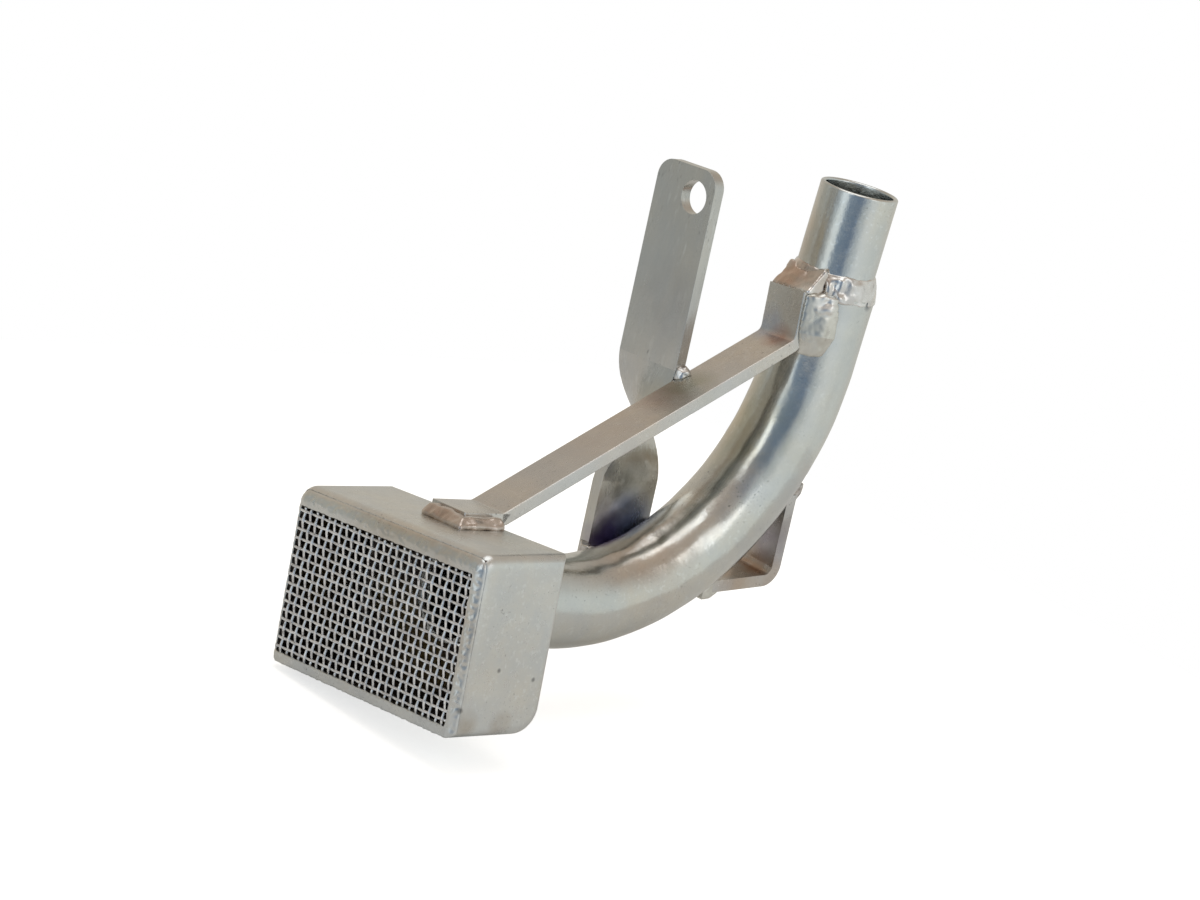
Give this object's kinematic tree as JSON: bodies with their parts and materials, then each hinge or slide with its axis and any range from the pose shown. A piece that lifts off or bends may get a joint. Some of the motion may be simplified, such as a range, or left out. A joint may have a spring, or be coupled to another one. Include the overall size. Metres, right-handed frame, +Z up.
{
  "type": "oil pickup tube",
  "caption": "Bare steel engine oil pickup tube with a mesh-fronted strainer box, a bent tube with a press-in stub, a brace strap and a twisted bolt-on bracket",
  "frame": {"origin": "centre of the stub's open end", "axes": "+Z up along the pump stub, X from the screen toward the tube's bend, the tube's bend in the XZ plane, +Y to the bracket's side"},
  "size_m": [0.1306, 0.0664, 0.1293],
  "materials": {
    "plated_steel": "satin",
    "wire_mesh": "satin",
    "weld_metal": "satin"
  },
  "bodies": {
    "root": {"strainer_box": "plated_steel", "screen_mesh": "wire_mesh", "weld_screen": "weld_metal", "main_tube": "plated_steel", "pump_stub": "plated_steel", "brace_strap": "plated_steel", "mounting_bracket": "plated_steel", "foot_angle": "plated_steel", "weld_stub_ring": "weld_metal", "weld_tube_box": "weld_metal", "weld_brace_box": "weld_metal", "weld_brace_tube_near": "weld_metal", "weld_brace_tube_far": "weld_metal", "weld_brace_tube_top": "weld_metal", "weld_bracket_front": "weld_metal", "weld_bracket_rear": "weld_metal", "weld_bracket_brace": "weld_metal", "weld_foot_upper": "weld_metal", "weld_foot_lower": "weld_metal"}
  },
  "joints": []
}
